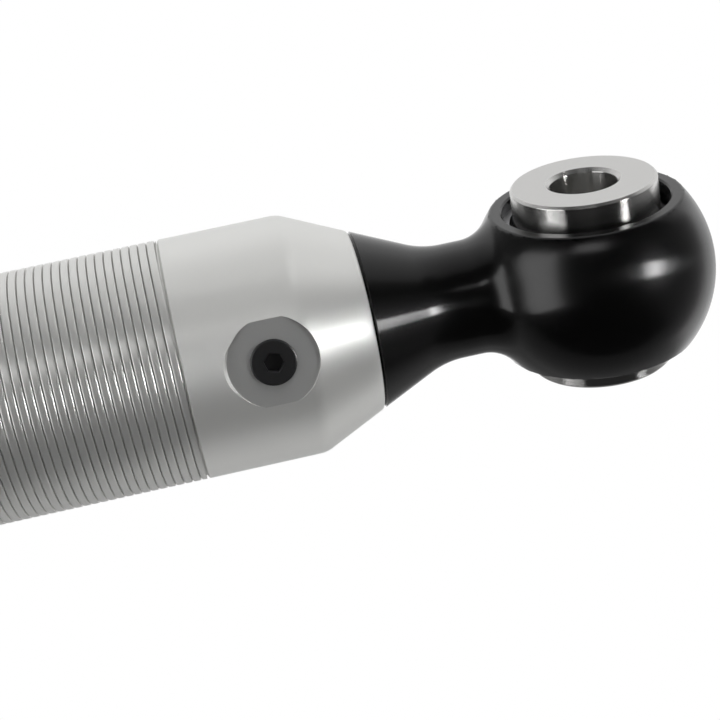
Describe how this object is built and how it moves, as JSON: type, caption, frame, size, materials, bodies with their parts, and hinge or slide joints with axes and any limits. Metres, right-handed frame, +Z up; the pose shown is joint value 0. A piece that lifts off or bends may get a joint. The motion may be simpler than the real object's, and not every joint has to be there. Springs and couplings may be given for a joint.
{
  "type": "coilover shock",
  "caption": "Coilover shock: threaded aluminium damper with gas charge port, coil spring on an adjustable collar, sliding rod and a ball-shaped eye with a spherical bearing at each end.",
  "frame": {"origin": "centre of the upper spherical bearing, on the upper bolt's axis", "axes": "+Z up along the shock's axis, +X along both bolts, -Y to the charge port's side"},
  "size_m": [0.088, 0.088, 0.6075],
  "materials": {
    "bright_anodised": "satin clear anodised, turned",
    "black_anodised": "satin black anodised",
    "stainless": "polished side, turned face",
    "bearing_steel": "ground",
    "black_oxide": "black oxide on steel, lightly oiled",
    "spring_steel": "phosphated spring steel",
    "chromed_rod": "hard chrome, polished",
    "machined_aluminium": "machined",
    "spring_coat": "satin powder coat",
    "seal_rubber": "smooth nitrile",
    "band_plastic": "filled bearing plastic",
    "bush_bronze": "bronze-backed bush",
    "bump_rubber": "moulded rubber"
  },
  "bodies": {
    "damper": {"damper_body": "bright_anodised", "upper_eye": "black_anodised", "upper_bearing_race": "bearing_steel", "upper_snap_ring_left": "spring_steel", "upper_snap_ring_right": "spring_steel", "charge_port_screw": "black_oxide", "charge_port_seal": "seal_rubber", "charge_port_pellet": "seal_rubber", "seal_head": "machined_aluminium", "seal_head_o_ring": "seal_rubber", "rod_bushing": "bush_bronze", "rod_seal": "seal_rubber", "rod_wiper": "seal_rubber", "seal_head_retaining_ring": "spring_steel"},
    "upper_bearing_ball": {"upper_ball": "bearing_steel"},
    "upper_spacers": {"upper_spacer_left": "stainless", "upper_spacer_right": "stainless"},
    "gas_piston": {"floating_piston": "machined_aluminium", "floating_piston_seal": "seal_rubber", "floating_piston_band": "band_plastic"},
    "rod_assembly": {"piston_rod": "chromed_rod", "piston": "machined_aluminium", "piston_band": "band_plastic", "compression_shim_1": "spring_steel", "compression_shim_2": "spring_steel", "compression_shim_3": "spring_steel", "compression_shim_4": "spring_steel", "compression_shim_5": "spring_steel", "compression_washer": "spring_steel", "rebound_shim_1": "spring_steel", "rebound_shim_2": "spring_steel", "rebound_shim_3": "spring_steel", "rebound_shim_4": "spring_steel", "rebound_shim_5": "spring_steel", "rebound_washer": "spring_steel", "piston_nut": "black_oxide", "top_out_spacer": "machined_aluminium", "bump_stop": "bump_rubber", "bump_stop_cup": "black_oxide", "lower_spring_perch": "black_anodised", "coil_spring": "spring_coat", "lower_eye": "black_anodised", "lower_bearing_race": "bearing_steel", "lower_snap_ring_left": "spring_steel", "lower_snap_ring_right": "spring_steel"},
    "spring_seat": {"upper_spring_seat": "black_anodised"},
    "collar": {"adjuster_collar": "black_anodised", "collar_pinch_screw": "black_oxide"},
    "lower_bearing_ball": {"lower_ball": "bearing_steel"},
    "lower_spacers": {"lower_spacer_left": "stainless", "lower_spacer_right": "stainless"}
  },
  "joints": [
    {"name": "rod_slide", "type": "slide", "parent": "damper", "child": "rod_assembly", "axis": [0, 0, 1], "range_m": [0, 0.127], "stiffness_N_per_m": 35000, "springref_m": -0.01, "deforming": ["coil_spring"]},
    {"name": "gas_piston_slide", "type": "slide", "parent": "damper", "child": "gas_piston", "axis": [0, 0, 1], "range_m": [0, 0.0152]},
    {"name": "collar_turn", "type": "hinge", "parent": "spring_seat", "child": "collar", "pos_m": [0, 0, 0], "axis": [0, 0, 1], "range_deg": [0, 3600]},
    {"name": "spring_seat_slide", "type": "slide", "parent": "damper", "child": "spring_seat", "axis": [0, 0, 1], "range_m": [0, 0.02]},
    {"name": "upper_ball_tilt", "type": "hinge", "parent": "damper", "child": "upper_bearing_ball", "pos_m": [0, 0, 0], "axis": [0, 1, 0], "range_deg": [-3, 3]},
    {"name": "upper_spacer_turn", "type": "hinge", "parent": "upper_bearing_ball", "child": "upper_spacers", "pos_m": [0, 0, 0], "axis": [1, 0, 0], "continuous": true},
    {"name": "lower_ball_tilt", "type": "hinge", "parent": "rod_assembly", "child": "lower_bearing_ball", "pos_m": [0, 0, -0.5497], "axis": [0, 1, 0], "range_deg": [-3, 3]},
    {"name": "lower_spacer_turn", "type": "hinge", "parent": "lower_bearing_ball", "child": "lower_spacers", "pos_m": [0, 0, -0.5497], "axis": [1, 0, 0], "continuous": true}
  ],
  "couplings": [
    {"joint": "gas_piston_slide", "follows": "rod_slide", "ratio": 0.1191},
    {"joint": "spring_seat_slide", "follows": "collar_turn", "m_per_rad": 0.00031831}
  ]
}
